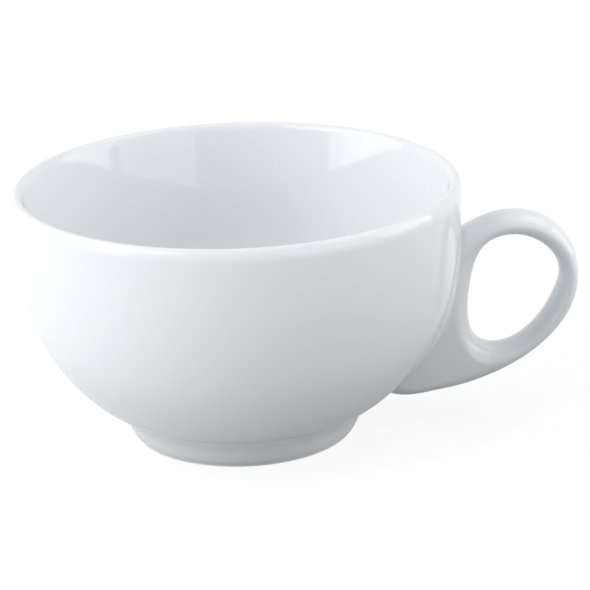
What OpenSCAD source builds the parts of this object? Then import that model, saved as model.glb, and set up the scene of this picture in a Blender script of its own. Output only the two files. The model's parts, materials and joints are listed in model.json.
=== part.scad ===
// A wide porcelain cup on a low foot, with a cast ear handle.
// The origin is on the cup's axis, in the plane that the foot stands on. The handle points along +X.

/* [Bowl] */
// Outside diameter of the rim, over the glaze
rim_d = 104; // [90:1:120]
// Height of the rim above the table
cup_h = 60.6; // [54:0.5:72]
// Thickness of the glazed wall under the lip
lip_w = 3.2; // [2.4:0.1:4.5]
// Height of the lip's rounded edge
lip_h = 2.9; // [1.5:0.1:4]
// Thickness of the glazed wall above the foot
heel_w = 6.2; // [5:0.1:7.5]
// Lean of the inside under the lip, in degrees
inside_lean = 13; // [6:0.5:15]
// Height of the floor inside the bowl, above the table
floor_z = 9.8; // [8.6:0.1:13]

/* [Foot] */
// Diameter of the foot where it stands
foot_d = 51; // [44:0.5:58]
// Diameter of the foot at its top, under the bead
foot_top_d = 55.8; // [50:0.2:62]
// Height of the foot's glazed side
foot_h = 5.2; // [4:0.1:7]
// How far the foot's side swells past a straight cone
foot_swell = 0.25; // [0:0.05:0.6]
// Thickness of the foot where it stands
foot_w = 3; // [2.6:0.1:5]
// How far the hollow draws in on each side up to the base
foot_draft = 0.8; // [0:0.1:1.6]
// Depth of the hollow under the base
recess_h = 4.6; // [3.4:0.1:6]
// Radius of the foot's bare edges
foot_edge_r = 0.6; // [0.3:0.1:0.8]
// Height up to which the glaze is wiped off the foot
wipe_h = 1; // [0.9:0.1:2]

/* [Handle] */
// How far the handle stands out past the rim
ear_reach = 28.2; // [22:0.2:36]
// Height of the handle from its lowest point to its crown
ear_h = 43.7; // [38:0.1:46]
// Depth of the handle's crown below the rim
ear_drop = 11.2; // [8:0.1:13]
// Width of the handle at its outermost point
ear_w = 9.8; // [7:0.1:13]
// Width of the handle where it meets the bowl
root_w = 11.4; // [8:0.1:15]
// Length over which the handle's long edges are rounded
ear_edge = 4.5; // [3:0.1:6]

/* [Joints and coats] */
// Thickness of the glaze
glaze_w = 0.3; // [0.2:0.05:0.4]
// Thickness of the slip bed under the bowl
bed_w = 0.4; // [0.2:0.1:0.8]
// Width of the slip bead round the top of the foot
bead_w = 2; // [1.2:0.1:3]
// Height of that bead
bead_h = 2.3; // [1.5:0.1:3]
// How far that bead swells out
bead_swell = 0.3; // [0.1:0.05:0.6]
// How far the handle's slip bed stands out of the wall's glaze
slip_rise = 0.6; // [0.3:0.1:1]
// How far the slip bead shows round the handle's root
slip_bead = 1.2; // [0.6:0.1:2]

/* [Hidden] */

// One overrun serves all the cuts
over = 5;
rim_r = rim_d / 2;
foot_r = foot_d / 2;
foot_top_r = foot_top_d / 2;
foot_in_r = foot_r - foot_w;
lip_z = cup_h - lip_h;
clay_in = -glaze_w;

// Steps along each span of a curve, along the foot's side, round an edge and round the lip
span_steps = 7;
side_steps = 6;
edge_steps = 4;
lip_steps = 9;
// Sections round the handle's hole, and points round each section
ear_sections = 60;
section_points = 20;
turn_fn = 120;

// The wall's line from the foot's bead to the lip, as shares of that width and height
wall_share = [[0, 0], [0.28, 0.07], [0.77, 0.32], [0.96, 0.65], [1, 1]];
// How much of the foot's radius the flat of the floor takes
floor_flat_share = 0.72;
// The handle's hole and its outer line, as shares of its reach past the rim and of its height
hole_share = [[0.86, 0.67], [0.755, 0.79], [0.52, 0.885], [0.2, 0.87],
              [0.08, 0.69], [0.005, 0.255], [0.53, 0.225], [0.83, 0.54]];
ear_share = [[-0.42, 0.62], [-0.3, 0.81], [0.425, 1.08], [1.035, 0.87], [1.02, 0.365],
             [0.21, 0.05], [-0.22, 0.02], [-0.58, -0.02], [-0.78, 0.08]];
// The middle of the hole, from which the handle's sections fan out
hub_share = [0.42, 0.58];

function mix(a, b, t) = a + (b - a) * t;
function cross2(a, b) = a.x * b.y - a.y * b.x;
function reversed(list) = [for (i = [len(list) - 1:-1:0]) list[i]];

// A point of a smooth cubic curve over four of its control points
function curve_point(a, b, c, d, t) =
    (pow(1 - t, 3) * a + (3 * pow(t, 3) - 6 * pow(t, 2) + 4) * b
     + (-3 * pow(t, 3) + 3 * pow(t, 2) + 3 * t + 1) * c + pow(t, 3) * d) / 6;

// A curve that closes on itself
function closed_curve(p) =
    [for (i = [0:len(p) - 1]) for (k = [0:span_steps - 1])
        curve_point(p[i], p[(i + 1) % len(p)], p[(i + 2) % len(p)], p[(i + 3) % len(p)], k / span_steps)];

// A curve that starts and ends on its first and last control points
function open_curve(p) =
    let (q = concat([p[0], p[0]], p, [p[len(p) - 1], p[len(p) - 1]]))
    concat([for (i = [0:len(q) - 4]) for (k = [0:span_steps - 1])
        curve_point(q[i], q[i + 1], q[i + 2], q[i + 3], k / span_steps)], [p[len(p) - 1]]);

// A line moved sideways to its right by a distance
function moved_line(p, gap) =
    [for (i = [0:len(p) - 1])
        let (along = p[min(i + 1, len(p) - 1)] - p[max(i - 1, 0)])
        p[i] + gap * [along.y, -along.x] / norm(along)];

// The bowl's wall from the foot's bead up to the lip, over the glaze
heel = [foot_top_r + bead_w, foot_h + bead_h];
wall_points = [for (s = wall_share) [mix(heel.x, rim_r, s.x), mix(heel.y, lip_z, s.y)]];
wall_line = open_curve(wall_points);

// The rounded lip, from its outer foot over the crest to just before the leaning inside meets it
lip_turn = atan(tan(inside_lean) * lip_h / (lip_w / 2));
function lip_point(a, inset) =
    [rim_r - lip_w / 2 + (lip_w / 2 - inset) * cos(a), lip_z + (lip_h - inset) * sin(a)];
function lip_line(inset) = concat(
    [for (i = [0:lip_steps]) lip_point(90 * i / lip_steps, inset)],
    [for (i = [1:lip_steps - 1]) lip_point(90 + (90 - lip_turn) * i / lip_steps, inset)]);

// The inside of the bowl from the middle of the floor up to the lip, over the glaze
inner_top = lip_point(180 - lip_turn, 0);
waist_z = wall_points[len(wall_points) - 2].y;
inner_points = concat(
    [[0, floor_z], [floor_flat_share * foot_top_r, floor_z]],
    [for (i = [1:len(wall_points) - 3])
        let (along = wall_points[i + 1] - wall_points[i - 1])
        wall_points[i] + heel_w * [-along.y, along.x] / norm(along)],
    [[inner_top.x - (inner_top.y - waist_z) * tan(inside_lean), waist_z], inner_top]);
inner_line = open_curve(inner_points);

// The radius of the foot's side at a height, over the glaze
function foot_side_r(z) = mix(foot_r, foot_top_r, z / foot_h) + foot_swell * sin(180 * z / foot_h);

// The foot's side from under the bead down to where the glaze is wiped off
foot_line = [for (i = [0:side_steps])
    let (z = mix(foot_h, wipe_h, i / side_steps))
    [foot_side_r(z), z]];

// The bead of slip round the top of the foot, over the glaze
bead_line = [for (i = [1:edge_steps - 1])
    let (t = i / edge_steps, bulge = bead_swell * sin(180 * t))
    [mix(heel.x, foot_top_r, t) + bulge, mix(heel.y, foot_h, t) - bulge]];

// The whole outside from the wiped edge up to the lip, moved outwards by a distance
function outside_line(gap) =
    moved_line(concat(reversed(foot_line), reversed(bead_line), wall_line), gap);
foot_count = len(foot_line);
bead_count = len(bead_line);
function part_of(list, first, last) = [for (i = [first:last]) list[i]];

clay_outside = outside_line(clay_in);
clay_foot = part_of(clay_outside, 0, foot_count - 1);
clay_bead = part_of(clay_outside, foot_count - 1, foot_count + bead_count);
clay_wall = part_of(clay_outside, foot_count + bead_count, len(clay_outside) - 1);
clay_inside = moved_line(inner_line, glaze_w);

// The corner where the hollow under the base meets the foot, over the glaze and on the clay
hollow_corner = [foot_in_r - foot_draft, recess_h];
clay_corner = hollow_corner + [glaze_w, glaze_w];
clay_heel = clay_wall[0];

// The height of the underside of the bowl's clay above the foot, at a radius
function seat_z(r) = mix(clay_corner.y, clay_heel.y, (r - clay_corner.x) / (clay_heel.x - clay_corner.x));

// The radius of the hollow's side at a height
function hollow_r(z) = mix(foot_in_r, hollow_corner.x, z / recess_h);

// The cup's outside as a filled solid, moved outwards by a distance
module outside_block(gap) {
    line = outside_line(gap);
    rotate_extrude($fn = turn_fn)
        polygon(concat([[0, 0], [line[0].x, 0]], line,
                       [[line[len(line) - 1].x, cup_h + over], [0, cup_h + over]]));
}

// The handle's two outlines and the hub of its hole, in the plane of the handle
ear_top = cup_h - ear_drop;
ear_z = ear_top - ear_h;
function ear_point(s) = [rim_r + s.x * ear_reach, ear_z + s.y * ear_h];
hole_line = closed_curve([for (s = hole_share) ear_point(s)]);
ear_line = open_curve([for (s = ear_share) ear_point(s)]);
hub = ear_point(hub_share);

// Where the handle's outer line leaves the wall above and meets it again below
function wall_r(z) = lookup(z, [for (p = wall_line) [p.y, p.x]]);
open_heights = [for (p = ear_line) if (p.x > wall_r(p.y) + slip_rise) p.y];
root_high_z = open_heights[0] + slip_bead;
root_low_z = max(heel.y + glaze_w, open_heights[len(open_heights) - 1] - slip_bead);
root_r = root_w / 2 + slip_bead;

// The outline of the handle's slip bead against the wall, as a prism along X
module root_prism(grow) {
    r = root_r + grow;
    rotate([90, 0, 90]) linear_extrude(rim_r + over) {
        translate([0, root_low_z + root_r]) circle(r, $fn = turn_fn);
        translate([0, root_high_z - root_r]) circle(r, $fn = turn_fn);
        translate([-r, root_low_z + root_r]) square([r * 2, root_high_z - root_low_z - root_r * 2]);
    }
}

// How far an outline lies from the hub in a direction
function reach(outline, a) =
    let (ray = [cos(a), sin(a)])
    min([for (i = [0:len(outline) - 1])
        let (p = outline[i] - hub, step = outline[(i + 1) % len(outline)] - outline[i],
             turn = cross2(ray, step), t = cross2(p, ray) / turn, d = cross2(p, step) / turn)
        if (turn != 0 && t >= 0 && t <= 1 && d > 0) d]);

// One section of the handle: flat faces between two rounded edges
function ear_section(a, grow) =
    let (near = reach(hole_line, a) - grow, far = reach(ear_line, a) + grow,
         half = mix(ear_w, root_w, (1 - cos(a)) / 2) / 2 + grow,
         edge = min((far - near) / 2, ear_edge + grow))
    [for (j = [0:section_points - 1])
        let (b = 360 * (j + 0.5) / section_points,
             d = cos(b) > 0 ? far - edge * (1 - cos(b)) : near + edge * (1 + cos(b)))
        [hub.x + d * cos(a), half * sin(b), hub.y + d * sin(a)]];

// The whole handle as a ring of sections round its hole, moved outwards by a distance
module ear_ring(grow) {
    points = [for (i = [0:ear_sections - 1]) each ear_section(360 * i / ear_sections, grow)];
    quads = [for (i = [0:ear_sections - 1]) for (j = [0:section_points - 1])
        let (i2 = (i + 1) % ear_sections, j2 = (j + 1) % section_points)
        [i * section_points + j, i2 * section_points + j,
         i2 * section_points + j2, i * section_points + j2]];
    polyhedron(points, [for (q = quads) each [[q[0], q[1], q[2]], [q[0], q[2], q[3]]]]);
}

module bowl() {
    color("whitesmoke") rotate_extrude($fn = turn_fn)
        polygon(concat([[0, clay_corner.y], clay_corner], clay_wall, lip_line(glaze_w),
                       reversed(clay_inside)));
}

module foot_ring() {
    top_r = clay_foot[len(clay_foot) - 1].x;
    out_r = foot_side_r(foot_edge_r) - glaze_w - foot_edge_r;
    in_r = foot_in_r + glaze_w + foot_edge_r;
    color("ivory") rotate_extrude($fn = turn_fn)
        polygon(concat(
            [for (i = [0:edge_steps]) let (a = 90 * i / edge_steps)
                [in_r - foot_edge_r * cos(a), foot_edge_r * (1 - sin(a))]],
            [for (i = [0:edge_steps]) let (a = 90 * i / edge_steps)
                [out_r + foot_edge_r * sin(a), foot_edge_r * (1 - cos(a))]],
            clay_foot,
            [[top_r, seat_z(top_r) - bed_w], [clay_corner.x, clay_corner.y - bed_w]]));
}

module foot_slip() {
    top = clay_foot[len(clay_foot) - 1];
    color("linen") rotate_extrude($fn = turn_fn)
        polygon(concat([[clay_corner.x, clay_corner.y - bed_w], [top.x, seat_z(top.x) - bed_w]],
                       clay_bead, [clay_corner]));
}

module handle() {
    color("whitesmoke") difference() {
        ear_ring(clay_in);
        outside_block(slip_rise);
    }
}

module handle_slip() {
    color("linen") difference() {
        intersection() {
            root_prism(0);
            outside_block(slip_rise);
        }
        outside_block(clay_in);
    }
}

module inside_glaze() {
    lip = lip_line(0);
    clay_lip = lip_line(glaze_w);
    color("white") rotate_extrude($fn = turn_fn)
        polygon(concat(clay_inside, reversed(part_of(clay_lip, lip_steps, len(lip) - 1)),
                       part_of(lip, lip_steps, len(lip) - 1), reversed(inner_line)));
}

module outside_glaze() {
    lip = lip_line(0);
    clay_lip = lip_line(glaze_w);
    line = outside_line(0);
    color("white") difference() {
        rotate_extrude($fn = turn_fn)
            polygon(concat(line, part_of(lip, 0, lip_steps),
                           reversed(part_of(clay_lip, 0, lip_steps)), reversed(clay_outside)));
        root_prism(glaze_w);
    }
}

module handle_glaze() {
    color("white") difference() {
        union() {
            ear_ring(0);
            intersection() {
                root_prism(glaze_w);
                outside_block(slip_rise + glaze_w);
            }
        }
        ear_ring(clay_in);
        intersection() {
            root_prism(0);
            outside_block(slip_rise);
        }
        outside_block(clay_in);
    }
}

module base_glaze() {
    color("white") rotate_extrude($fn = turn_fn)
        polygon([[0, recess_h], hollow_corner, [hollow_r(wipe_h), wipe_h],
                 [hollow_r(wipe_h) + glaze_w, wipe_h], clay_corner, [0, clay_corner.y]]);
}

bowl();
foot_ring();
foot_slip();
handle();
handle_slip();
inside_glaze();
outside_glaze();
handle_glaze();
base_glaze();
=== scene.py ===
# %% [markdown]
# # A white porcelain cup
# The real cup is put together from a jiggered bowl, a turned foot ring and a cast ear handle. They are
# joined with slip, which is liquid clay, and one coat of clear glaze runs over all of it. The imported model
# has those pieces at their real size. This lesson dresses them: the turned coats get smooth skins, the ear
# gets its soft flesh, the glaze pools where two pieces meet, and only the foot's edge stays bare.

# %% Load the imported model
import json
import math

import bpy
import numpy as np
from mathutils import Matrix, Vector

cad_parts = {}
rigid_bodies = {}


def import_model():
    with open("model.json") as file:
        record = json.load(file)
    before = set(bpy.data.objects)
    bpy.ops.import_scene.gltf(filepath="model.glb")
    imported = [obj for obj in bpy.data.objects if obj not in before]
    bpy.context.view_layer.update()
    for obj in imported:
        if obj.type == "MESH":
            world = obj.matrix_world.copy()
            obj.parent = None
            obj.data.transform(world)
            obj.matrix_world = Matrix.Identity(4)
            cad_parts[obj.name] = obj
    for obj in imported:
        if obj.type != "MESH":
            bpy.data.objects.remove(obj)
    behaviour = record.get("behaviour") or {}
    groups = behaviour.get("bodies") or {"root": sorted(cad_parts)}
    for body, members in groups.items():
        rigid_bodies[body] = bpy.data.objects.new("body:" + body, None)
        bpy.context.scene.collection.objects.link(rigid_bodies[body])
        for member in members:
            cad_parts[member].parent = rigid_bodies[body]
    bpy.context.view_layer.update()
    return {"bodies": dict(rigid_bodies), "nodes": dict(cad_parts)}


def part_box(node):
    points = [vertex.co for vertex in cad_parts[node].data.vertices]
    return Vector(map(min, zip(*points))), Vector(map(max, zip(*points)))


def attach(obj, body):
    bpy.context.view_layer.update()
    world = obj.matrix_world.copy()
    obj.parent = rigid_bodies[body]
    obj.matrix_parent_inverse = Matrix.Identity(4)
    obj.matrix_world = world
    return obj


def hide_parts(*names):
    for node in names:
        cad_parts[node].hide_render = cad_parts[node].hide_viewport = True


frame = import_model()

# %% [markdown]
# ## Sizes
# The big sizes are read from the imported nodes, so that the skins sit exactly on the clay. The small ones,
# such as the thickness of the lip, can't be read from a box, so they are named here in millimetres.

# %% Sizes of the cup
MM = 0.001
outside_low, outside_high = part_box("outside_glaze")
ear_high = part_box("handle_glaze")[1]
base_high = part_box("base_glaze")[1]

rim_r = outside_high.y / MM
cup_h = outside_high.z / MM
wipe_h = outside_low.z / MM
glaze_w = 0.3
lip_w = 3.2
lip_h = 2.9
heel_w = 6.2
inside_lean = math.radians(13)
floor_z = 9.8
foot_r = 25.5
foot_top_r = 27.9
foot_h = 5.2
foot_swell = 0.25
foot_w = 3.0
foot_draft = 0.8
recess_h = base_high.z / MM - glaze_w
foot_edge_r = 0.6
bed_w = 0.4
bead_w = 2.0
bead_h = 2.3
bead_swell = 0.15
lip_z = cup_h - lip_h
print(f"rim {2 * rim_r:.1f} mm across, cup {cup_h:.1f} mm high, glaze wiped off below {wipe_h:.1f} mm")

# %% Sizes of the ear
ear_h = 43.7
ear_drop = 11.2
ear_w = 9.8
root_w = 11.4
ear_edge = 4.5
ear_reach = ear_high.x / MM - rim_r
ear_bottom = cup_h - ear_drop - ear_h
print(f"the packed ear stands {ear_reach:.1f} mm past the rim")

# %% [markdown]
# ## Lines drawn with few points
# A potter's template is a smooth line through a few places. A uniform cubic curve over given points
# gives such a line. Repeating the first and the last point makes it start and end there.

# %% Smooth lines
def curve_over(points, steps, closed=False):
    """A smooth cubic curve over control points, with the same number of steps in each span."""
    points = [np.array(p, float) for p in points]
    if closed:
        q = points + points[:3]
    else:
        q = [points[0]] * 2 + points + [points[-1]] * 2
    line = []
    for a, b, c, d in zip(q, q[1:], q[2:], q[3:]):
        for t in np.arange(steps) / steps:
            line.append(((1 - t) ** 3 * a + (3 * t ** 3 - 6 * t ** 2 + 4) * b
                         + (-3 * t ** 3 + 3 * t ** 2 + 3 * t + 1) * c + t ** 3 * d) / 6)
    if not closed:
        line.append(points[-1])
    return np.array(line)


def evenly(line, spacing):
    """The same line with its points an even distance apart."""
    along = np.concatenate([[0], np.cumsum(np.linalg.norm(np.diff(line, axis=0), axis=1))])
    places = np.linspace(0, along[-1], max(2, round(along[-1] / spacing) + 1))
    return np.column_stack([np.interp(places, along, line[:, k]) for k in range(line.shape[1])])


def moved(line, gap):
    """A line moved sideways to its right by a distance."""
    ahead = np.vstack([line[1:], line[-1:]])
    behind = np.vstack([line[:1], line[:-1]])
    along = ahead - behind
    along /= np.linalg.norm(along, axis=1)[:, None]
    return line + gap * np.column_stack([along[:, 1], -along[:, 0]])


def eased(first, second, cut, steps=6):
    """Joins two lines that meet at a corner, with the corner rounded over a distance."""
    corner = first[-1]
    first = first[np.linalg.norm(first - corner, axis=1) > cut]
    second = second[np.linalg.norm(second - corner, axis=1) > cut]
    start, end = first[-1], second[0]
    bend = [(1 - t) ** 2 * start + 2 * t * (1 - t) * corner + t ** 2 * end
            for t in np.arange(1, steps) / steps]
    return np.vstack([first, bend, second])


# %% [markdown]
# ## The bowl's outline
# The wall's points are shares of the bowl's width and height, as a maker marks them on a template. The
# inside follows the outside at the wall's thickness, and half an ellipse closes the lip.

# %% The outline of bowl and foot
wall_share = [(0, 0), (0.28, 0.07), (0.77, 0.32), (0.96, 0.65), (1, 1)]
floor_flat_share = 0.72
steps_in_span = 40
heel = np.array([foot_top_r + bead_w, foot_h + bead_h])
wall_marks = [heel + np.array(s) * (rim_r - heel[0], lip_z - heel[1]) for s in wall_share]
wall_line = curve_over(wall_marks, steps_in_span)

lip_turn = math.atan(math.tan(inside_lean) * lip_h / (lip_w / 2))


def lip_line(inset, steps=24):
    """The rounded lip from its outer foot over the crest to where the leaning inside meets it."""
    a = np.linspace(0, math.pi - lip_turn, steps + 1)
    middle = rim_r - lip_w / 2
    return np.column_stack([middle + (lip_w / 2 - inset) * np.cos(a), lip_z + (lip_h - inset) * np.sin(a)])


inner_top = lip_line(0)[-1]
waist = inner_top - (inner_top[1] - wall_marks[-2][1]) * np.array([math.tan(inside_lean), 1])
inner_marks = [np.array([0, floor_z]), np.array([floor_flat_share * foot_top_r, floor_z])]
for before, mark, after in zip(wall_marks, wall_marks[1:], wall_marks[2:-1]):
    along = after - before
    inner_marks.append(mark + heel_w * np.array([-along[1], along[0]]) / np.linalg.norm(along))
inner_marks += [waist, inner_top]
inner_line = curve_over(inner_marks, steps_in_span)


def foot_side_r(z):
    """The radius of the foot's glazed side at a height."""
    return foot_r + (foot_top_r - foot_r) * z / foot_h + foot_swell * np.sin(np.pi * z / foot_h)


foot_marks = 12
foot_z = np.linspace(wipe_h, foot_h, foot_marks)
foot_line = np.column_stack([foot_side_r(foot_z), foot_z])
t = np.linspace(0, 1, foot_marks)
bulge = bead_swell * np.sin(np.pi * t)
bead_line = np.column_stack([foot_top_r + bead_w * t + bulge, foot_h + bead_h * t - bulge])
print(f"inside depth {cup_h - floor_z:.1f} mm, wall line of {len(wall_line)} points")

# %% [markdown]
# ## One coat from the floor to the foot
# The glaze runs from the middle of the floor, up the inside, over the lip, down the wall and the slip bead
# to the wiped edge, and back along the clay. As one line from axis to axis it turns into one closed shell.
# The two creases at the bead are rounded a little, because glaze pools there.

# %% The coat's template
foot_step = 0.45
bead_step = 0.2
wall_step = 0.4
inner_step = 1.6
clay_step = 4.0
edge_step = 0.05
clay_lip_steps = 12
foot_crease = 1.9
wall_crease = 0.8
edge_cut = 0.14

outside = eased(evenly(foot_line, foot_step), evenly(bead_line, bead_step), foot_crease)
outside = eased(outside, evenly(wall_line, wall_step), wall_crease)
clay_side = moved(outside, -glaze_w)
clay_side = np.vstack([clay_side[:1], evenly(clay_side, clay_step),
                       lip_line(glaze_w, clay_lip_steps)[1:-1],
                       evenly(moved(inner_line, glaze_w), clay_step)[::-1]])
wiped_edge = eased(outside[::-1], evenly(np.array([outside[0], clay_side[0]]), edge_step), edge_cut)
finished_side = np.vstack([evenly(inner_line, inner_step), lip_line(0)[::-1][1:-1], wiped_edge])
coat_line = np.vstack([finished_side, clay_side])[::-1]
coat_line[0, 0] = 0
coat_line[-1, 0] = 0
print(f"coat's template has {len(coat_line)} points")

# %% [markdown]
# ## A wheel made of Geometry Nodes
# Turned pieces follow one rule: each point of the template runs round the axis. The tree lays out a grid,
# gives each row the radius and height of one template point, and each column its angle. The columns stand
# closer together towards the handle, where the skin needs more detail.

# %% A small kit for node trees
def place(tree, kind, **settings):
    """Adds a node and sets its own properties."""
    node = tree.nodes.new(kind)
    for name, value in settings.items():
        setattr(node, name, value)
    return node


def feed(tree, node, **sources):
    """Feeds a node's inputs by identifier: from another node's output or with a plain value."""
    by_name = {s.identifier.replace(" ", "_"): s for s in node.inputs}
    for name, source in sources.items():
        if isinstance(source, bpy.types.NodeSocket):
            tree.links.new(source, by_name[name])
        else:
            by_name[name].default_value = source
    return node


def sums(tree, operation, *terms):
    """A Math node's result for one, two or three terms."""
    node = place(tree, "ShaderNodeMath", operation=operation)
    for socket, term in zip(node.inputs, terms):
        if isinstance(term, bpy.types.NodeSocket):
            tree.links.new(term, socket)
        else:
            socket.default_value = term
    return node.outputs[0]


def linked(name, data):
    """A new object in the scene that holds this data."""
    piece = bpy.data.objects.new(name, data)
    bpy.context.scene.collection.objects.link(piece)
    return piece


def open_tree(name, inputs):
    """A new geometry tree with named inputs. Gives the tree, its input node and its output node."""
    tree = bpy.data.node_groups.new(name, "GeometryNodeTree")
    tree.interface.new_socket("Geometry", in_out="INPUT", socket_type="NodeSocketGeometry")
    for label, kind in inputs:
        tree.interface.new_socket(label, in_out="INPUT", socket_type=kind)
    tree.interface.new_socket("Geometry", in_out="OUTPUT", socket_type="NodeSocketGeometry")
    return tree, tree.nodes.new("NodeGroupInput"), tree.nodes.new("NodeGroupOutput")


# %% The wheel
rise_reach = 9.0
groove_width = 2.2
weld_gap = 0.002
sharp_angle = math.radians(50)


def build_wheel():
    """Turns a template, kept as a line of points in the XZ plane, into a skin round the Z axis."""
    tree, given, result = open_tree("potters_wheel", [
        ("Columns", "NodeSocketInt"), ("Crowding", "NodeSocketFloat"), ("Handle", "NodeSocketObject"),
        ("Rise reach", "NodeSocketFloat"), ("Groove width", "NodeSocketFloat"),
        ("Finish", "NodeSocketMaterial")])
    size = feed(tree, place(tree, "GeometryNodeAttributeDomainSize"), Geometry=given.outputs["Geometry"])
    rows = size.outputs["Point Count"]
    columns = given.outputs["Columns"]
    grid = feed(tree, place(tree, "GeometryNodeMeshGrid"), Size_X=1.0, Size_Y=1.0,
                Vertices_X=sums(tree, "ADD", columns, 1), Vertices_Y=rows)
    index = place(tree, "GeometryNodeInputIndex").outputs[0]
    row = sums(tree, "MODULO", index, rows)
    column = sums(tree, "FLOOR", sums(tree, "DIVIDE", sums(tree, "ADD", index, 0.5), rows))
    turn = sums(tree, "MULTIPLY", sums(tree, "DIVIDE", column, columns), 2 * math.pi)
    crowd = sums(tree, "MULTIPLY", sums(tree, "SINE", turn), given.outputs["Crowding"])
    angle = sums(tree, "SUBTRACT", turn, crowd)

    template = feed(tree, place(tree, "GeometryNodeSampleIndex", data_type="FLOAT_VECTOR"),
                    Geometry=given.outputs["Geometry"], Index=row,
                    Value=place(tree, "GeometryNodeInputPosition").outputs[0])
    mark = feed(tree, place(tree, "ShaderNodeSeparateXYZ"), Vector=template.outputs[0])
    bent = feed(tree, place(tree, "ShaderNodeCombineXYZ"),
                X=sums(tree, "MULTIPLY", mark.outputs["X"], sums(tree, "COSINE", angle)),
                Y=sums(tree, "MULTIPLY", mark.outputs["X"], sums(tree, "SINE", angle)),
                Z=mark.outputs["Z"])
    skin = feed(tree, place(tree, "GeometryNodeSetPosition"), Geometry=grid.outputs["Mesh"],
                Position=bent.outputs[0])

    relief = feed(tree, place(tree, "GeometryNodeInputNamedAttribute", data_type="FLOAT_VECTOR"),
                  Name="relief").outputs[0]
    row_relief = feed(tree, place(tree, "GeometryNodeSampleIndex", data_type="FLOAT_VECTOR"),
                      Geometry=given.outputs["Geometry"], Index=row, Value=relief)
    marked = feed(tree, place(tree, "GeometryNodeStoreNamedAttribute", data_type="FLOAT_VECTOR"),
                  Geometry=skin.outputs[0], Name="relief", Value=row_relief.outputs[0])
    closed = feed(tree, place(tree, "GeometryNodeMergeByDistance"), Geometry=marked.outputs[0],
                  Distance=weld_gap * MM)

    handle = feed(tree, place(tree, "GeometryNodeObjectInfo"), Object=given.outputs["Handle"])
    near = feed(tree, place(tree, "GeometryNodeProximity", target_element="FACES"),
                Target=handle.outputs["Geometry"])
    distance = near.outputs["Distance"]
    swell = feed(tree, place(tree, "ShaderNodeMapRange", interpolation_type="SMOOTHSTEP"),
                 Value=distance, From_Min=0.0, From_Max=given.outputs["Rise reach"], To_Min=1.0, To_Max=0.0)
    across = sums(tree, "SUBTRACT", 1.0, sums(tree, "DIVIDE", distance, given.outputs["Groove width"]))
    rise_and_groove = feed(tree, place(tree, "ShaderNodeSeparateXYZ"), Vector=relief).outputs
    hill = sums(tree, "MULTIPLY", swell.outputs[0], rise_and_groove["X"])
    groove = sums(tree, "MULTIPLY", sums(tree, "POWER", sums(tree, "MAXIMUM", across, 0.0), 2.0),
                  rise_and_groove["Y"])
    height = sums(tree, "SUBTRACT", hill, groove)
    normal = place(tree, "GeometryNodeInputNormal").outputs[0]
    push = feed(tree, place(tree, "ShaderNodeVectorMath", operation="SCALE"), Vector=normal, Scale=height)
    swollen = feed(tree, place(tree, "GeometryNodeSetPosition"), Geometry=closed.outputs[0],
                   Offset=push.outputs[0])

    smooth = feed(tree, place(tree, "GeometryNodeSetShadeSmooth", domain="FACE"),
                  Geometry=swollen.outputs[0], Shade_Smooth=True)
    corner = place(tree, "GeometryNodeInputMeshEdgeAngle").outputs[0]
    flat = feed(tree, place(tree, "GeometryNodeSetShadeSmooth", domain="EDGE"),
                Geometry=smooth.outputs[0], Selection=sums(tree, "GREATER_THAN", corner, sharp_angle),
                Shade_Smooth=False)
    real = feed(tree, place(tree, "GeometryNodeRealizeInstances"), Geometry=flat.outputs[0])
    finished = feed(tree, place(tree, "GeometryNodeSetMaterial"), Geometry=real.outputs[0],
                    Material=given.outputs["Finish"])
    tree.links.new(finished.outputs[0], result.inputs[0])
    return tree


wheel = build_wheel()
print(f"the wheel has {len(wheel.nodes)} nodes")


# %% Turning a piece on the wheel
plain_columns = 260


def line_object(name, line, relief):
    """A template in millimetres as a mesh of points and edges in the XZ plane, in metres."""
    mesh = bpy.data.meshes.new(name)
    mesh.from_pydata([(r * MM, 0, z * MM) for r, z in line],
                     [(i, i + 1) for i in range(len(line) - 1)], [])
    values = np.column_stack([relief, np.zeros(len(line))]) * MM
    mesh.attributes.new("relief", "FLOAT_VECTOR", "POINT").data.foreach_set("vector", values.ravel())
    return linked(name, mesh)


def made_mesh(piece):
    """Turns an object's evaluated geometry into its own plain mesh and drops the modifiers."""
    bpy.context.view_layer.update()
    evaluated = piece.evaluated_get(bpy.context.evaluated_depsgraph_get())
    mesh = bpy.data.meshes.new_from_object(evaluated)
    piece.modifiers.clear()
    piece.data = mesh
    mesh.name = piece.name


def turned(name, line, finish, columns=plain_columns, crowding=0.0, handle=None, relief=None):
    """Turns a template on the wheel. Each point may have its own rise and groove towards a handle."""
    piece = line_object(name, line, np.zeros((len(line), 2)) if relief is None else relief)
    modifier = piece.modifiers.new("wheel", "NODES")
    modifier.node_group = wheel
    settings = {"Columns": columns, "Crowding": crowding, "Handle": handle, "Rise reach": rise_reach * MM,
                "Groove width": groove_width * MM, "Finish": finish}
    for item in wheel.interface.items_tree:
        if item.in_out == "INPUT" and item.name in settings:
            modifier[item.identifier] = settings[item.name]
    made_mesh(piece)
    report(piece)
    return piece


def report(piece):
    """Prints a piece's triangles, its volume, below zero if it is inside out, and its open edges."""
    mesh = piece.data
    mesh.calc_loop_triangles()
    co = np.array([v.co for v in mesh.vertices])
    tri = np.array([t.vertices for t in mesh.loop_triangles])
    a, b, c = co[tri[:, 0]], co[tri[:, 1]], co[tri[:, 2]]
    volume = np.einsum("ij,ij->i", a, np.cross(b, c)).sum() / 6
    doubled = len(mesh.edges) - len({tuple(sorted(e)) for e in mesh.edge_keys})
    uses = np.bincount([l.edge_index for l in mesh.loops], minlength=len(mesh.edges))
    print(f"{piece.name}: {len(tri)} triangles, {volume / MM ** 3:.0f} mm3,",
          f"{(uses != 2).sum() + doubled} edges not shared by two faces")


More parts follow.
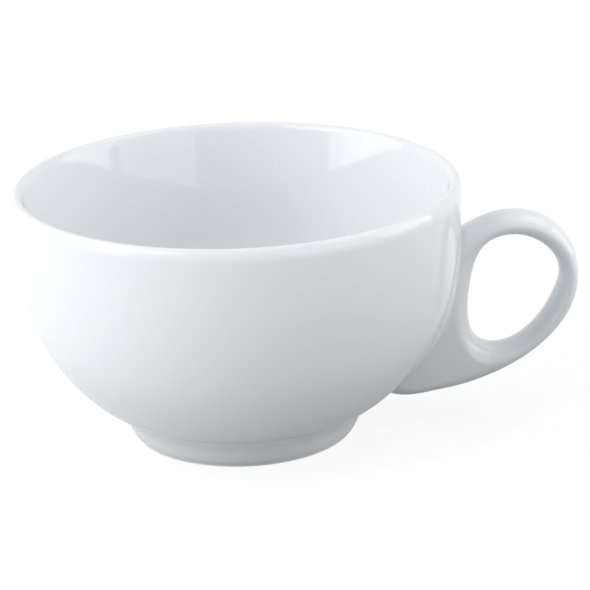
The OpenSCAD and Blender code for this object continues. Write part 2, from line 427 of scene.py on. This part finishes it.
# %% [markdown]
# ## The ear
# The ear was cast in a mould of two halves. Its skin is a ring of sections that fan out from the middle of
# its hole. Each section reaches from the hole's outline to the outer one and is rounded at both ends. Where
# the ring would run through the bowl, it stops just under the wall's skin, which is its seat.

# %% The ear's outlines
hole_share = [(0.86, 0.67), (0.755, 0.79), (0.52, 0.885), (0.2, 0.87),
              (0.08, 0.69), (0.005, 0.255), (0.53, 0.225), (0.83, 0.54)]
ear_share = [(-0.42, 0.62), (-0.3, 0.81), (0.425, 1.08), (1.035, 0.87), (1.02, 0.365),
             (0.21, 0.05), (-0.22, 0.02), (-0.58, -0.02), (-0.78, 0.08)]
hub_share = (0.42, 0.58)


def ear_place(share):
    """A place in the handle's plane, from shares of its reach and height."""
    return np.array([rim_r + share[0] * ear_reach, ear_bottom + share[1] * ear_h])


hub = ear_place(hub_share)
hole_line = curve_over([ear_place(s) for s in hole_share], steps_in_span, closed=True)
ear_line = curve_over([ear_place(s) for s in ear_share], steps_in_span)


def reaches(line, angles):
    """How far a closed line lies from the hub in each direction."""
    start = line - hub
    step = np.roll(line, -1, axis=0) - line
    found = []
    for a in angles:
        ray = np.array([math.cos(a), math.sin(a)])
        turn = ray[0] * step[:, 1] - ray[1] * step[:, 0]
        turn[turn == 0] = np.inf
        share = (start[:, 0] * ray[1] - start[:, 1] * ray[0]) / turn
        far = (start[:, 0] * step[:, 1] - start[:, 1] * step[:, 0]) / turn
        found.append(far[(share >= 0) & (share <= 1) & (far > 0)].min())
    return np.array(found)


# %% The ear's skin
ear_sections = 320
section_points = 88
seat_depth = 1.0
guide_inset = 0.6
guide_fineness = 3
wall_z = np.concatenate([[0, foot_h], wall_line[:, 1], [cup_h]])
wall_r = np.concatenate([[foot_r, foot_top_r], wall_line[:, 0], [rim_r]])


def ring_mesh(name, rings):
    """A closed mesh over an array of rings of points."""
    count, around = rings.shape[:2]
    i, j = np.meshgrid(np.arange(count), np.arange(around), indexing="ij")
    i2, j2 = (i + 1) % count, (j + 1) % around
    faces = np.stack([i * around + j, i * around + j2, i2 * around + j2, i2 * around + j], -1)
    mesh = bpy.data.meshes.new(name)
    mesh.from_pydata(rings.reshape(-1, 3) * MM, [], faces.reshape(-1, 4).tolist())
    mesh.shade_smooth()
    return linked(name, mesh)


def ear_rings(inset=0.0, fineness=1):
    """The ring of sections in millimetres, before its seat is cut, moved inwards by a distance."""
    angles = np.linspace(0, 2 * math.pi, fineness * ear_sections, endpoint=False)
    near, far = reaches(hole_line, angles) + inset, reaches(ear_line, angles) - inset
    half = (ear_w + (root_w - ear_w) * (1 - np.cos(angles)) / 2) / 2 - inset
    edge = np.minimum((far - near) / 2, ear_edge - inset)
    b = 2 * math.pi * (np.arange(fineness * section_points) + 0.5) / (fineness * section_points)
    outward = far[:, None] - edge[:, None] * (1 - np.cos(b))
    inward = near[:, None] + edge[:, None] * (1 + np.cos(b))
    d = np.where(np.cos(b) > 0, outward, inward)
    return np.stack([hub[0] + d * np.cos(angles)[:, None], half[:, None] * np.sin(b),
                     hub[1] + d * np.sin(angles)[:, None]], -1)


def seated(rings, depth):
    """Pushes what lies deeper than that under the wall's skin out to that depth."""
    radius = np.hypot(rings[..., 0], rings[..., 1])
    floor = np.interp(rings[..., 2], wall_z, wall_r) - depth
    scale = np.maximum(1, floor / radius)
    return np.stack([rings[..., 0] * scale, rings[..., 1] * scale, rings[..., 2]], -1)


guide = ring_mesh("ear_guide", ear_rings(guide_inset, guide_fineness))
ear = ring_mesh("ear_glaze_coat", seated(ear_rings(), seat_depth))
report(ear)

# %% [markdown]
# ## Finishes
# Fired glaze is a hard, glossy skin over white clay. It is not perfect: it lies in faint, long waves, it
# has fine orange peel, it is a little cooler where it is thick, and here and there a speck of iron shows.
# The bare foot is dry and matt with a fine grain, and its lowest edge, where it stands on the table, is
# greyer in patches.

# %% Shader helpers
def new_finish(name):
    """A material with its node tree, its shader and its object coordinates."""
    finish = bpy.data.materials.new(name)
    finish.use_nodes = True
    tree = finish.node_tree
    shader = tree.nodes["Principled BSDF"]
    coords = place(tree, "ShaderNodeTexCoord").outputs["Object"]
    return finish, tree, shader, coords


def noise(tree, coords, scale, detail=2.0, roughness=0.5):
    """Noise with a scale in features per metre."""
    node = feed(tree, place(tree, "ShaderNodeTexNoise"), Vector=coords, Scale=scale, Detail=detail,
                Roughness=roughness)
    return node.outputs["Fac"]


def axis_of(tree, vector, axis):
    """One axis of a vector."""
    return feed(tree, place(tree, "ShaderNodeSeparateXYZ"), Vector=vector).outputs[axis]


def blended(tree, factor, first, second):
    """A colour mixed from two by a factor."""
    node = place(tree, "ShaderNodeMix", data_type="RGBA")
    node.inputs[6].default_value = (*first, 1) if isinstance(first, tuple) else (0, 0, 0, 1)
    node.inputs[7].default_value = (*second, 1) if isinstance(second, tuple) else (0, 0, 0, 1)
    if not isinstance(first, tuple):
        tree.links.new(first, node.inputs[6])
    if not isinstance(second, tuple):
        tree.links.new(second, node.inputs[7])
    tree.links.new(factor, node.inputs[0])
    return node.outputs[2]


def ranged(tree, value, low, high, to_low=0.0, to_high=1.0):
    """A value carried smoothly from one range to another."""
    node = place(tree, "ShaderNodeMapRange", interpolation_type="SMOOTHSTEP")
    feed(tree, node, Value=value, From_Min=low, From_Max=high, To_Min=to_low, To_Max=to_high)
    return node.outputs[0]


def bumped(tree, shader, *layers):
    """Stacks bumps, each given as height, distance in metres and strength."""
    last = None
    for height, distance, strength in layers:
        bump = feed(tree, place(tree, "ShaderNodeBump"), Height=height, Distance=distance,
                    Strength=strength)
        if last:
            tree.links.new(last, bump.inputs["Normal"])
        last = bump.outputs[0]
    tree.links.new(last, shader.inputs["Normal"])


# %% Glaze
glaze_white = (0.78, 0.80, 0.822)
glaze_thick = (0.75, 0.78, 0.81)
iron_speck = (0.33, 0.29, 0.24)
glaze_ior = 1.5
pool_depth = 6.0
cloud_scale, cloud_share, pool_share = 45, 0.5, 0.3
speck_scale, speck_share, speck_cover = 85, 0.035, 0.6
speck_rim, speck_core = 0.03, 0.012
smear_scale, wave_scale, peel_scale = 70, 28, 420
smear_span, glaze_roughness = (0.35, 0.75), (0.02, 0.05)
wave_bump, peel_bump, speck_bump = (0.00045, 0.25), (0.00002, 0.35), (0.00006, 0.5)


def glaze_finish():
    """Clear glaze over white porcelain."""
    finish, tree, shader, coords = new_finish("clear_glaze_over_porcelain")
    pooled = ranged(tree, axis_of(tree, coords, "Z"), (floor_z + pool_depth) * MM, floor_z * MM)
    clouds = noise(tree, coords, cloud_scale, 3)
    tone = blended(tree, sums(tree, "MULTIPLY", clouds, cloud_share), glaze_white, glaze_thick)
    tone = blended(tree, sums(tree, "MULTIPLY", pooled, pool_share), tone, glaze_thick)

    cells = feed(tree, place(tree, "ShaderNodeTexVoronoi"), Vector=coords, Scale=speck_scale)
    chosen = sums(tree, "LESS_THAN", axis_of(tree, cells.outputs["Color"], "X"), speck_share)
    spot = ranged(tree, cells.outputs["Distance"], speck_rim, speck_core)
    speck = sums(tree, "MULTIPLY", chosen, spot)
    tone = blended(tree, sums(tree, "MULTIPLY", speck, speck_cover), tone, iron_speck)
    tree.links.new(tone, shader.inputs["Base Color"])

    smear = noise(tree, coords, smear_scale, 3)
    tree.links.new(ranged(tree, smear, *smear_span, *glaze_roughness), shader.inputs["Roughness"])
    shader.inputs["IOR"].default_value = glaze_ior
    bumped(tree, shader, (noise(tree, coords, wave_scale, 1), *wave_bump),
           (noise(tree, coords, peel_scale, 2), *peel_bump), (speck, *speck_bump))
    return finish


# %% Bare clay
# The second colour of each pair is the greyer tone of the clay's lowest edge, within a set height of the
# table.
porcelain_white, porcelain_low_grey = (0.79, 0.79, 0.78), (0.66, 0.655, 0.645)
slip_white, slip_low_grey = (0.78, 0.77, 0.74), (0.7, 0.69, 0.67)
low_grey_height = 0.7
patch_scale, grain_scale, lump_scale = 160, 2600, 520
patch_span, grain_span, clay_roughness = (0.42, 0.62), (0.3, 0.7), (0.62, 0.78)
grain_shade = 0.94
grain_bump, lump_bump = (0.00006, 0.5), (0.00008, 0.4)


def clay_finish(name, tone, low_grey):
    """Bare fired clay with a fine grain, greyer in patches along its lowest edge, where it stands."""
    finish, tree, shader, coords = new_finish(name)
    # Greyer in patches towards the bottom, within a set height above the table.
    low_band = ranged(tree, axis_of(tree, coords, "Z"), low_grey_height * MM, 0.0)
    patches = ranged(tree, noise(tree, coords, patch_scale, 4), *patch_span)
    grain = noise(tree, coords, grain_scale, 2, 0.7)
    colour = blended(tree, grain, tone, tuple(c * grain_shade for c in tone))
    colour = blended(tree, sums(tree, "MULTIPLY", low_band, patches), colour, low_grey)
    tree.links.new(colour, shader.inputs["Base Color"])
    tree.links.new(ranged(tree, grain, *grain_span, *clay_roughness), shader.inputs["Roughness"])
    bumped(tree, shader, (grain, *grain_bump), (noise(tree, coords, lump_scale, 3), *lump_bump))
    return finish


glaze = glaze_finish()
bare_clay = clay_finish("bare_porcelain", porcelain_white, porcelain_low_grey)
slip_clay = clay_finish("fired_slip", slip_white, slip_low_grey)
print("finishes:", [m.name for m in (glaze, bare_clay, slip_clay)])

# %% [markdown]
# ## Where ear and wall grow together
# The ear is stuck on with slip, and a sponge draws the slip out over the wall. So the wall swells softly
# towards the ear's root, most at a third of the height, and a fine groove stays between the two near the
# top. Each point of the template is given both amounts, and the wheel applies them by the distance to the
# ear. A plain fillet would be as deep everywhere, which the real joint is not.

# %% The swell and the groove
groove_from = (10, 26, 42)
groove_depth = (0, 0.12, 0.5)
root_rise = curve_over([(0, 4.5), (0.2, 7.5), (1.1, 10.5), (2.0, 15), (2.4, 22), (1.6, 31), (0.7, 44),
                        (0.4, 62)], steps_in_span)
outer_rows = np.arange(len(wiped_edge)) + len(clay_side)
outer_z = coat_line[outer_rows, 1]
relief = np.zeros((len(coat_line), 2))
relief[outer_rows, 0] = np.interp(outer_z, root_rise[:, 1], root_rise[:, 0])
relief[outer_rows, 1] = np.interp(outer_z, groove_from, groove_depth)
print("most swell and deepest groove in mm:", relief.max(axis=0).round(2))

# %% [markdown]
# ## Turning the coats and the foot
# The coats and the foot ring are turned pieces, so they come from the wheel. The clay inside stays the
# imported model's own, because nobody sees it under the glaze.

# %% The bowl's coat
coat_columns = 324
coat_crowding = 0.84
coat = turned("bowl_glaze_coat", coat_line, glaze, coat_columns, coat_crowding, guide, relief)

# %% The foot ring
foot_in_r = foot_r - foot_w
rest_step, seat_step = 0.4, 1.0
foot_edge_marks = 9


def hollow_r(z):
    """The radius of the hollow's side at a height."""
    return foot_in_r - foot_draft * z / recess_h


quarter = np.linspace(0, math.pi / 2, foot_edge_marks)
edge_in_r = foot_in_r + glaze_w + foot_edge_r
edge_out_r = foot_side_r(foot_edge_r) - glaze_w - foot_edge_r
clay_corner = np.array([hollow_r(recess_h) + glaze_w, recess_h + glaze_w])
clay_foot = moved(foot_line, -glaze_w)
clay_heel = heel + np.array([-glaze_w, glaze_w])
seat_rise = (clay_heel[1] - clay_corner[1]) / (clay_heel[0] - clay_corner[0])
seat_edge = np.array([clay_foot[-1, 0], clay_corner[1] + seat_rise * (clay_foot[-1, 0] - clay_corner[0])])
foot_template = np.vstack([
    np.column_stack([edge_in_r - foot_edge_r * np.cos(quarter), foot_edge_r * (1 - np.sin(quarter))]),
    evenly(np.array([[edge_in_r, 0], [edge_out_r, 0]]), rest_step)[1:-1],
    np.column_stack([edge_out_r + foot_edge_r * np.sin(quarter), foot_edge_r * (1 - np.cos(quarter))]),
    clay_foot[1:],
    evenly(np.array([seat_edge - [0, bed_w], clay_corner - [0, bed_w]]), seat_step)])
foot_template = np.vstack([foot_template, foot_template[:1]])
foot = turned("bare_foot_ring", foot_template, bare_clay)

# %% The coat under the base
ceiling_step, side_step, back_step, lid_step = 1.2, 0.25, 0.8, 2.0
ceiling_crease = 0.7
hollow_side = np.array([[hollow_r(recess_h), recess_h], [hollow_r(wipe_h), wipe_h]])
ceiling = np.array([[0, recess_h], [hollow_r(recess_h), recess_h]])
base_skin = eased(evenly(ceiling, ceiling_step), evenly(hollow_side, side_step), ceiling_crease)
base_edge = np.array([hollow_side[1], hollow_side[1] + [glaze_w, 0]])
base_skin = eased(base_skin, evenly(base_edge, edge_step), edge_cut)
base_back = evenly(np.array([base_edge[1], clay_corner]), back_step)
base_lid = evenly(np.array([clay_corner, [0, clay_corner[1]]]), lid_step)
base_coat = turned("base_glaze_coat", np.vstack([base_skin, base_back[1:], base_lid[1:]]), glaze)

# %% The ear's finish and the clay's
ear.data.materials.append(glaze)
bpy.data.objects.remove(guide)
for node, finish in (("bowl", bare_clay), ("foot_slip", slip_clay), ("handle", bare_clay),
                     ("handle_slip", slip_clay)):
    slots = frame["nodes"][node].data.materials
    slots.clear()
    slots.append(finish)

# %% [markdown]
# ## Each piece on its body
# The cup has no moving parts, so all of it rides on one body. Each skin stands for the coat that it
# replaces, and the imported nodes of that coat are hidden.

# %% What rides and what is replaced
cup_body = list(frame["bodies"])[0]
for piece, nodes, slot in ((coat, ("inside_glaze", "outside_glaze"), "clear_glaze"),
                           (base_coat, ("base_glaze",), "clear_glaze"),
                           (ear, ("handle_glaze",), "clear_glaze"),
                           (foot, ("foot_ring",), "porcelain_clay")):
    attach(piece, cup_body)
    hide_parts(*nodes)
    print(piece.name, "stands for", ", ".join(nodes))

# %% [markdown]
# ## The photograph's view
# A long lens looks down at the cup from a little to the left of its front. The place and the three turns
# were worked out from the rim's ellipses, the wall's outline and the foot.

# %% Camera
camera_place = Vector((-46.5, -591.1, 237.7)) * MM
camera_heading = math.radians(5.737)
camera_tilt = math.radians(19.107)
camera_roll = math.radians(-1.842)
lens_mm = 164.14
sensor_mm = 36.0

lens = bpy.data.cameras.new("photo_view")
lens.lens = lens_mm
lens.sensor_width = sensor_mm
lens.sensor_fit = "HORIZONTAL"
lens.clip_start = 0.01
camera = linked("photo_view", lens)
turn = (Matrix.Rotation(-camera_heading, 4, "Z") @ Matrix.Rotation(math.pi / 2 - camera_tilt, 4, "X")
        @ Matrix.Rotation(camera_roll, 4, "Z"))
camera.matrix_world = Matrix.Translation(camera_place) @ turn
bpy.context.scene.camera = camera
print("camera looks along", [round(x, 4) for x in turn.to_3x3() @ Vector((0, 0, -1))])

# %% [markdown]
# ## Floor and backdrop
# The cup stands on a pale floor. To the eye and in mirror images the floor is white and keeps only the soft
# shadow. For the light that it throws back up at the cup it is a card of a colour of its own.

# %% A flat square and its shaders
def square(name, reach):
    """A flat square round its own middle that reaches a distance to each side."""
    mesh = bpy.data.meshes.new(name)
    corners = [(x * reach, y * reach, 0) for x, y in ((-1, -1), (1, -1), (1, 1), (-1, 1))]
    mesh.from_pydata(corners, [], [(0, 1, 2, 3)])
    return linked(name, mesh)


def empty_finish(name):
    """A material and its node tree, with no node in it yet."""
    finish = bpy.data.materials.new(name)
    finish.use_nodes = True
    finish.node_tree.nodes.clear()
    return finish, finish.node_tree


def diffuse(tree, tone):
    """A matt shader of one colour."""
    return feed(tree, place(tree, "ShaderNodeBsdfDiffuse"), Color=(*tone, 1)).outputs[0]


def joined(tree, kind, *sources):
    """A node that joins shaders, fed in order."""
    node = place(tree, kind)
    for socket, source in zip(node.inputs, sources):
        tree.links.new(source, socket)
    return node.outputs[0]


def lit_rays(tree):
    """One for rays from the camera, off a gloss or through glass, and zero for the rest."""
    path = place(tree, "ShaderNodeLightPath").outputs
    either = sums(tree, "MAXIMUM", path["Is Camera Ray"], path["Is Glossy Ray"])
    return sums(tree, "MAXIMUM", either, path["Is Transmission Ray"])


# %% Floor
floor_reach = 3.0
floor_card = (0.87, 0.92, 0.92)
glow_share = 0.86
paper_share = 0.16


def floor_finish():
    """White with a soft shadow to the eye, and a pale card to the cup."""
    finish, tree = empty_finish("pale_floor")
    glow = feed(tree, place(tree, "ShaderNodeEmission"), Color=(1, 1, 1, 1), Strength=glow_share)
    white = joined(tree, "ShaderNodeAddShader", diffuse(tree, [paper_share] * 3), glow.outputs[0])
    choice = joined(tree, "ShaderNodeMixShader", lit_rays(tree), diffuse(tree, floor_card), white)
    tree.links.new(choice, place(tree, "ShaderNodeOutputMaterial").inputs[0])
    return finish


floor = square("floor", floor_reach)
floor.data.materials.append(floor_finish())

# %% [markdown]
# ## A black flag on the floor
# A photographer lays dark gauze where a glossy piece must not mirror the pale floor. It also holds back the
# floor's light, so that the underside keeps its shade. It lies at the right of the cup and thins out to all
# sides, so that no edge of it shows in the glaze. The camera doesn't see it.

# %% Flag
flag_centre = (0.075, -0.07)
flag_reach = 0.21
flag_lift = 0.0004
flag_cover = 0.77
flag_tone = 0.04


def flag_finish():
    """Dark gauze that thins out from its middle. It shows from above only, so the floor keeps its light."""
    finish, tree = empty_finish("black_cloth")
    far = feed(tree, place(tree, "ShaderNodeVectorMath", operation="LENGTH"),
               Vector=place(tree, "ShaderNodeTexCoord").outputs["Object"]).outputs["Value"]
    fade = ranged(tree, far, flag_reach, 0.0, 0.0, flag_cover)
    front = sums(tree, "SUBTRACT", 1.0, place(tree, "ShaderNodeNewGeometry").outputs["Backfacing"])
    clear = place(tree, "ShaderNodeBsdfTransparent").outputs[0]
    gauze = joined(tree, "ShaderNodeMixShader", sums(tree, "MULTIPLY", fade, front), clear,
                   diffuse(tree, [flag_tone] * 3))
    tree.links.new(gauze, place(tree, "ShaderNodeOutputMaterial").inputs[0])
    return finish


flag = square("black_flag", flag_reach)
flag.data.materials.append(flag_finish())
flag.location = (*flag_centre, flag_lift)
flag.visible_camera = False
flag.visible_shadow = False

# %% World
room_light = 0.5
room_tint = (0.965, 1, 1)
world = bpy.data.worlds.new("room")
bpy.context.scene.world = world
world.use_nodes = True
backdrop = world.node_tree.nodes["Background"]
seen = lit_rays(world.node_tree)
feed(world.node_tree, backdrop, Color=blended(world.node_tree, seen, room_tint, (1, 1, 1)),
     Strength=ranged(world.node_tree, seen, 0, 1, room_light, 1.0))

# %% [markdown]
# ## Windows in the glaze
# The far inner wall leans back, so it mirrors what stands three to ten degrees above the table in front of
# the cup. The window lamps and the pane reach down that far, and their edges show there as pale panes.
# They could be painted on, but as lamps they move with the view, like on the real cup. The two glows stand
# higher: they fill the bowl with light and don't show there.

# %% Lamps
lamp_distance = 1.5
lamp_aim = Vector((0, 0, 0.035))
daylight = (1, 0.96, 0.965)


def softbox(name, heading, height, wide, high, glow):
    """A soft lamp in a direction from the cup, with its angles in degrees and its glow as a radiance."""
    lamp = bpy.data.lights.new(name, "AREA")
    lamp.shape = "RECTANGLE"
    lamp.size = 2 * lamp_distance * math.tan(math.radians(wide) / 2)
    lamp.size_y = 2 * lamp_distance * math.tan(math.radians(high) / 2)
    lamp.energy = math.pi * lamp.size * lamp.size_y * glow
    lamp.color = daylight
    stand = linked(name, lamp)
    a, e = math.radians(heading), math.radians(height)
    aim = -Vector((math.cos(e) * math.cos(a), math.cos(e) * math.sin(a), math.sin(e)))
    stand.location = lamp_aim - aim * lamp_distance
    stand.rotation_euler = aim.to_track_quat("-Z", "Y").to_euler()
    print(f"{name}: {lamp.size:.2f} by {lamp.size_y:.2f} m, {lamp.energy:.1f} W")


softbox("left_window", 185, 18, 50, 38, 1.75)
softbox("left_pane", 188, 14, 26, 18, 1.0)
softbox("left_glow", 193, 42, 56, 28, 2.7)
softbox("right_window", 311, 15, 45, 32, 1.0)
softbox("side_window", 358, 17, 37, 34, 2.2)
softbox("right_glow", 5, 54, 52, 28, 1.3)

# %% Colours as written
bpy.context.scene.view_settings.view_transform = "Standard"
